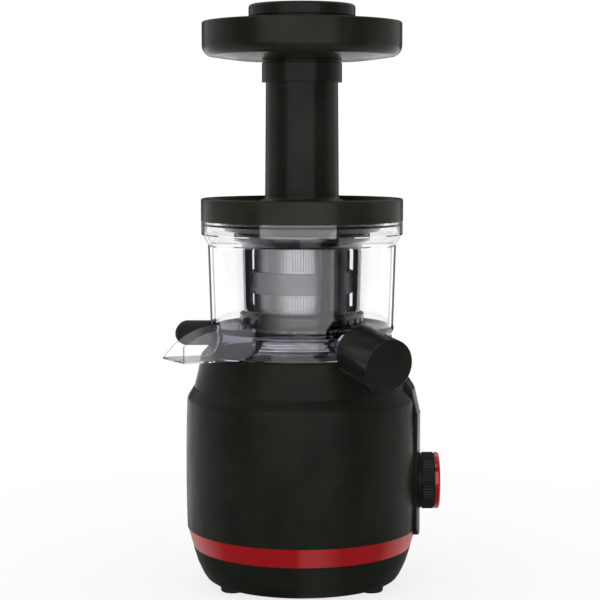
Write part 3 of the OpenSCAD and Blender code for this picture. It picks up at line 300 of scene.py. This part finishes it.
def clear(name, colour, shade, density, rough=0.02, shine=0.5, painted_rim=None, root=None):
    """Clear plastic, darker in its depth and, given a rim tint, painted darker where it
    turns away (painted shade).

    shade is the colour of its shadow. root is (start, end, tint): along X it takes
    on the tint from start to end.
    """
    t = Material(name)
    p = t.shader(IOR=1.5, Transmission_Weight=1.0, Specular_IOR_Level=shine)
    inside = t.add("ShaderNodeVolumeAbsorption")
    inside.inputs["Color"].default_value = (*SMOKE, 1.0)
    inside.inputs["Density"].default_value = density
    t.link(inside.outputs[0], t.out.inputs["Volume"])
    flow = t.noise(scale=22.0, stretch=(1.0, 1.0, 0.5))
    marks = t.noise(scale=180.0, detail=4.0)
    tint = t.shades(flow, colour, 0.985, 1.01)
    facing = t.add("ShaderNodeLayerWeight").outputs["Facing"]
    # painted shade: the tint darkens to the rim tint where the wall turns away
    if painted_rim:
        start, end = PAINTED_RIM_TURN
        tint = t.times(tint, t.ramp(facing, (start, WHITE), (end, painted_rim)))
    if root:
        start, end, dark = root
        along = t.spread(t.axes(t.place)["X"], 0.0, 1.0, start, end)
        tint = t.times(tint, t.ramp(along, (0.0, WHITE), (1.0, dark)))
    t.dress(
        p,
        Base_Color=tint,
        Roughness=t.spread(marks, rough * 0.6, rough * 1.6),
        Normal=t.bump(flow, strength=0.12, distance=0.0004),
    )
    surface = p
    if painted_rim:
        # upright walls: one painted dark line (painted shade) along the outline, from
        # every side
        normal = t.add("ShaderNodeNewGeometry").outputs["Normal"]
        tilt = t.math("ABSOLUTE", t.axes(normal)["Z"])
        upright = t.spread(tilt, 1.0, 0.0, *PAINTED_EDGE_TILT)
        edge = t.math("MULTIPLY", upright, t.spread(facing, 0.0, 1.0, *PAINTED_EDGE_TURN))
        surface = t.either(edge, p, t.see_through(PAINTED_EDGE_COLOUR))
    shadow = t.add("ShaderNodeLightPath").outputs["Is Shadow Ray"]
    return t.finish(t.either(shadow, surface, t.see_through(shade)))


def metallic_lacquer(name, colour, painted_sheen_colour, rough=0.28):
    """Flake lacquer under a clear coat, painted paler where it turns away (a painted
    sheen).
    """
    t = Material(name)
    p = t.shader(
        Metallic=0.2, Specular_IOR_Level=0.0, Coat_Weight=0.8, Coat_Roughness=0.06
    )
    flake = t.add("ShaderNodeTexVoronoi")
    flake.inputs["Scale"].default_value = 2400.0
    t.link(t.place, flake.inputs["Vector"])
    flake = flake.outputs["Distance"]
    cloud = t.noise(scale=90.0, detail=3.0)
    turned = t.add("ShaderNodeLayerWeight").outputs["Facing"]
    # painted sheen: the base colour goes over to the pale colour as the surface turns away
    painted_sheen_mix = t.add("ShaderNodeMix", data_type="RGBA")
    t.link(t.spread(turned, 0.0, 1.0, *PAINTED_SHEEN_TURN), painted_sheen_mix.inputs["Factor"])
    t.link(t.shades(flake, colour, 1.25, 0.8, places=(0.1, 0.7)), painted_sheen_mix.inputs[6])
    painted_sheen_mix.inputs[7].default_value = (*painted_sheen_colour, 1.0)
    t.dress(
        p,
        Base_Color=painted_sheen_mix.outputs[2],
        Roughness=t.spread(cloud, rough * 0.9, rough * 1.2),
        Normal=t.bump(flake, strength=0.12, distance=0.00005, edge=0.0004),
    )
    return t.finish(p)


def metal(name, colour, rough, lines=0.0, grain=900.0, stretch=(1, 1, 1)):
    """Metal with machining lines or cast grain."""
    t = Material(name)
    p = t.shader(Metallic=1.0)
    cloud = t.noise(scale=70.0, detail=3.0)
    fine = t.noise(scale=grain, detail=3.0, stretch=stretch)
    t.dress(
        p,
        Base_Color=t.shades(cloud, colour, 0.88, 1.08),
        Roughness=t.spread(fine, rough * 0.8, rough * 1.3),
        Normal=t.bump(fine, strength=0.2 + lines, distance=0.00006, edge=0.0003),
    )
    return t.finish(p)


def perforated(name, colour, dark, round_count=380.0, per_metre=9000.0):
    """Fine etched mesh: rows of slots round a cylinder about Z."""
    t = Material(name)
    p = t.shader(Metallic=1.0)
    place = t.axes(t.place)
    turn = t.math("ARCTAN2", place["Y"], place["X"])
    rows = t.math("SINE", t.math("MULTIPLY", turn, round_count))
    rings = t.math("SINE", t.math("MULTIPLY", place["Z"], per_metre))
    hole = t.spread(t.math("MULTIPLY", rows, rings), 0.0, 1.0, 0.15, 0.45)
    t.dress(
        p,
        Base_Color=t.ramp(hole, (0.0, colour), (1.0, dark)),
        Roughness=t.spread(t.noise(scale=120.0), 0.28, 0.42),
        Normal=t.bump(hole, strength=0.4, distance=-0.0001),
    )
    return t.finish(p)


def wound(name, colour):
    """Varnished wire wound in layers."""
    t = Material(name)
    p = t.shader(Metallic=0.85, Coat_Weight=0.5, Coat_Roughness=0.2)
    wave = t.add("ShaderNodeTexWave", bands_direction="Z")
    wave.inputs["Scale"].default_value = 320.0
    wave.inputs["Distortion"].default_value = 1.5
    t.link(t.place, wave.inputs["Vector"])
    wave = wave.outputs["Fac"]
    t.dress(
        p,
        Base_Color=t.shades(wave, colour, 0.45, 1.1, places=(0.2, 0.8)),
        Roughness=t.spread(t.noise(scale=300.0), 0.3, 0.5),
        Normal=t.bump(wave, strength=0.6, distance=0.0003),
    )
    return t.finish(p)


# name: (maker, its arguments after the name)
FINISHES = {
    "housing_black": (moulded, dict(colour=mixed(BLACK, 1.05), rough=0.3, level=0.06)),
    "part_black": (moulded, dict(colour=mixed(BLACK, 1.4), rough=0.2, level=0.09)),
    "gloss_black": (moulded, dict(colour=mixed(BLACK, 0.8), rough=0.1, grain=0.05)),
    "lid_black": (moulded, dict(colour=mixed(BLACK, 1.8), rough=0.2, level=0.09)),
    "cap_black": (moulded, dict(colour=mixed(BLACK, 0.95), rough=0.16, level=0.16)),
    "soft_black": (rubber, dict(colour=(0.012, 0.012, 0.012))),
    "red_metallic": (metallic_lacquer, dict(colour=RED, painted_sheen_colour=PAINTED_SHEEN_PINK)),
    "chute_smoke": (
        clear,
        dict(
            colour=(0.99, 0.988, 0.995),
            shade=(0.9, 0.89, 0.92),
            density=14.0,
            root=(-0.063, -0.056, (0.34, 0.32, 0.375)),
        ),
    ),
    "wall_smoke": (
        clear,
        dict(
            colour=(1.0, 0.998, 1.0),
            shade=(0.9, 0.89, 0.92),
            density=16.0,
            rough=0.01,
            painted_rim=PAINTED_RIM_TINT,
        ),
    ),
    "base_smoke": (
        clear,
        dict(
            colour=(0.93, 0.92, 0.95), shade=(0.6, 0.59, 0.62), density=85.0, painted_rim=PAINTED_RIM_TINT
        ),
    ),
    "dark_smoke": (
        clear,
        dict(
            colour=(0.45, 0.44, 0.5),
            shade=(0.3, 0.29, 0.32),
            density=1500.0,
            rough=0.06,
            shine=0.12,
        ),
    ),
    "silicone": (rubber, dict(colour=(0.03, 0.03, 0.034), rough=0.5)),
    "frame_grey": (moulded, dict(colour=(0.13, 0.13, 0.14), rough=0.35, spread=0.04)),
    "mesh_steel": (
        perforated,
        dict(colour=(0.36, 0.36, 0.375), dark=(0.2, 0.2, 0.21)),
    ),
    "steel": (
        metal,
        dict(
            colour=(0.62, 0.63, 0.65),
            rough=0.28,
            lines=0.1,
            grain=1400.0,
            stretch=(1, 1, 8),
        ),
    ),
    "die_cast": (
        metal,
        dict(colour=(0.5, 0.51, 0.53), rough=0.5, lines=0.35, grain=700.0),
    ),
    "core_steel": (
        metal,
        dict(colour=(0.28, 0.28, 0.3), rough=0.45, lines=0.3, stretch=(0.2, 0.2, 6)),
    ),
    "copper": (wound, dict(colour=(0.6, 0.27, 0.09))),
    "nylon": (
        moulded,
        dict(
            colour=(0.66, 0.64, 0.57), rough=0.42, edge=0.0003, grain=0.25, spread=0.05
        ),
    ),
    "grey_plastic": (
        moulded,
        dict(colour=(0.1, 0.105, 0.115), rough=0.5, edge=0.0003, grain=0.4),
    ),
    "board_green": (
        moulded,
        dict(colour=(0.02, 0.1, 0.04), rough=0.35, edge=0.0002, grain=0.3),
    ),
    "bronze": (
        metal,
        dict(colour=(0.5, 0.3, 0.12), rough=0.45, lines=0.3, grain=1100.0),
    ),
    "screw_black": (moulded, dict(colour=(0.018, 0.018, 0.02), rough=0.28)),
}
finishes = {
    name: maker(name, **values) for name, (maker, values) in FINISHES.items()
}

# nodes with a finish of their own, apart from their slot's
OWN_FINISH = {
    "bowl": "wall_smoke",
    "bowl_base": "base_smoke",
    "pulp_chute": "chute_smoke",
    "tap_cap": "cap_black",
    "lid": "lid_black",
    "strainer_frame": "frame_grey",
}

for name, obj in nodes.items():
    for material_slot in obj.material_slots:
        slot = material_slot.material.name.split(".")[0]
        finish = OWN_FINISH.get(name, slot)
        material_slot.material = finishes.get(finish, finishes["part_black"])


# ---- pieces --------------------------------------------------------------


def revolved(name, profile, body, finish, sides=96, sharp=35):
    """A closed ring turned about Z from (radius, height) points, clockwise.

    Corners of more than sharp degrees keep their edge.
    """
    mesh = bpy.data.meshes.new(name)
    count = len(profile)
    points = []
    faces = []
    for i in range(sides):
        a = 2 * math.pi * i / sides
        points += [(r * math.cos(a), r * math.sin(a), z) for r, z in profile]
        near, far = i * count, (i + 1) % sides * count
        for j in range(count):
            k = (j + 1) % count
            faces.append((near + j, near + k, far + k, far + j))
    mesh.from_pydata(points, [], faces)
    mesh.materials.append(finishes[finish])
    for polygon in mesh.polygons:
        polygon.use_smooth = True
    mesh.set_sharp_from_angle(angle=math.radians(sharp))
    obj = bpy.data.objects.new(name, mesh)
    scene.collection.objects.link(obj)
    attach(obj, body)


def lid_cone():
    """Glossy cone under the lid, from its rim in to just over the wiper's top."""
    funnel_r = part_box("lid_funnel")[1].x - 0.0003  # sunk into the funnel
    rim_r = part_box("lid_seal")[1].x - 0.0035  # inside the seal
    foot_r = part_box("strainer_mesh")[1].x + 0.0145  # over the wiper's rim
    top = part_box("lid_seal")[0].z - 0.0015  # sunk into the lid
    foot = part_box("wiper_frame")[1].z + 0.0009  # clear of the wiper, which turns
    revolved(
        "lid_cone",
        [
            (funnel_r, top),
            (rim_r, top),
            (rim_r - 0.0015, top - 0.002),
            (foot_r + 0.0092, foot + 0.0049),
            (foot_r + 0.0062, foot + 0.0012),
            (foot_r + 0.0015, foot + 0.0002),
            (foot_r - 0.0002, foot),
            (funnel_r, foot + 0.0008),
        ],
        body="lid",
        finish="gloss_black",
    )


lid_cone()


# ---- studio --------------------------------------------------------------


def mirrored_floor(t):
    """How bright gloss shows the floor."""
    place = t.axes(t.place)
    ahead = t.math("MULTIPLY", place["Y"], -1.0)
    turn = t.math("ARCTAN2", place["X"], ahead)
    back = t.spread(place["Y"], STUDIO_DIM, STUDIO_BACK, *FLOOR_FADE)
    far = t.spread(ahead, 0.0, STRIP_LEVEL, *STRIP_AHEAD)
    lamp = t.window(turn, STRIP_LEVEL, STRIP_LEFT, STRIP_RIGHT)
    strip = t.math("MINIMUM", far, lamp)
    close = t.spread(ahead, BESIDE_LEVEL, 0.0, *CLOSE)
    patch = t.window(turn, PATCH_LEVEL, PATCH_LEFT, PATCH_RIGHT)
    width = t.math("ABSOLUTE", place["X"])
    beside = t.spread(width, 0.0, BESIDE_LEVEL, *BESIDE)
    near = t.math("MINIMUM", close, t.largest(patch, beside))
    return t.largest(back, near, strip)


def floor_material():
    """Pale floor that goes over into the white background, under a soft shadow."""
    t = Material("floor_white")
    p = t.shader(Roughness=0.7)
    t.dress(p, Base_Color=t.shades(t.noise(scale=900.0), WHITE, 0.93, 0.95))
    path = t.add("ShaderNodeLightPath").outputs
    # 1 where it is looked at, and the studio's level where it is mirrored
    depth = t.math("MINIMUM", path["Glossy Depth"], 1.0)
    less = t.math("MULTIPLY", t.math("SUBTRACT", mirrored_floor(t), 1.0), depth)
    white = t.add("ShaderNodeEmission")
    t.link(t.math("ADD", less, 1.0), white.inputs["Strength"])
    length = t.add("ShaderNodeVectorMath", operation="LENGTH")
    t.link(t.place, length.inputs[0])
    away = t.spread(length.outputs["Value"], FLOOR_WHITE, 1.0, *FLOOR_AWAY)
    seen = t.largest(
        path["Is Camera Ray"], path["Is Glossy Ray"], path["Is Transmission Ray"]
    )
    return t.finish(t.either(t.math("MULTIPLY", seen, away), p, white))


def make_floor():
    mesh = bpy.data.meshes.new("floor")
    half = FLOOR_HALF
    mesh.from_pydata(
        [(-half, -half, 0), (half, -half, 0), (half, half, 0), (-half, half, 0)],
        [],
        [(0, 1, 2, 3)],
    )
    mesh.materials.append(floor_material())
    floor = bpy.data.objects.new("floor", mesh)
    scene.collection.objects.link(floor)


def make_world():
    """White background, and a dimmer studio in front of the object."""
    world = bpy.data.worlds.new("studio")
    scene.world = world
    world.use_nodes = True
    t = Nodes(world.node_tree)
    back = t.axes(t.add("ShaderNodeTexCoord").outputs["Generated"])["Y"]
    beside = t.step(back, *SIDE_START)
    past = t.math("SUBTRACT", 1.0, t.step(back, *SIDE_END))
    sides = t.math("MULTIPLY", beside, past)
    gain = t.math("MULTIPLY", sides, STUDIO_BACK - STUDIO_DIM)
    level = t.math("ADD", gain, STUDIO_DIM)

    path = t.add("ShaderNodeLightPath").outputs
    through = path["Is Transmission Ray"]
    shiny = t.largest(path["Is Glossy Ray"], through)
    mirrored = t.math("MINIMUM", path["Glossy Depth"], 1.0)
    gloss = t.math("MULTIPLY", t.math("MULTIPLY", shiny, mirrored), level)
    direct = t.math("SUBTRACT", 1.0, mirrored)
    seen = t.math("MULTIPLY", t.largest(path["Is Camera Ray"], through), direct)
    dull = t.math("MULTIPLY", t.math("SUBTRACT", 1.0, shiny), STUDIO_LEVEL)

    sky = t.add("ShaderNodeBackground")
    sky.inputs["Color"].default_value = (*WHITE, 1.0)
    t.link(t.largest(dull, gloss, seen), sky.inputs["Strength"])
    t.link(sky.outputs[0], t.add("ShaderNodeOutputWorld").inputs["Surface"])


def softbox(name, place, target, size, level, shine=False):
    """A lamp as bright as level, where 1 is the white; shine is for gloss alone."""
    light = bpy.data.lights.new(name, "AREA")
    light.shape = "RECTANGLE"
    light.size, light.size_y = size
    light.energy = level * math.pi * size[0] * size[1]
    obj = bpy.data.objects.new(name, light)
    obj.location = place
    direction = target - obj.location
    obj.rotation_mode = "QUATERNION"
    obj.rotation_quaternion = direction.to_track_quat("-Z", "Y")
    obj.visible_camera = False
    obj.visible_transmission = shine
    obj.visible_diffuse = not shine
    scene.collection.objects.link(obj)


def make_lamps():
    softbox(
        "front",
        place=(-0.32, -2.0, 0.8),
        target=Vector((-0.32, 0, 0.8)),
        size=(3.8, 2.6),
        level=2.3,
        shine=True,
    )
    softbox(
        "top",
        place=(-0.2, -0.5, 1.7),
        target=(cad_low + cad_high) / 2,
        size=(1.0, 0.8),
        level=1.6,
    )


def make_camera():
    """At the photograph's viewing angle, a little above the object."""
    data = bpy.data.cameras.new("camera")
    data.sensor_width = CAMERA_SENSOR
    data.lens = CAMERA_LENS
    camera = bpy.data.objects.new("camera", data)
    camera.location = CAMERA_PLACE
    camera.rotation_euler = (CAMERA_TILT, 0.0, 0.0)
    scene.collection.objects.link(camera)
    scene.camera = camera


make_floor()
make_world()
make_camera()
make_lamps()
scene.view_settings.view_transform = "Standard"
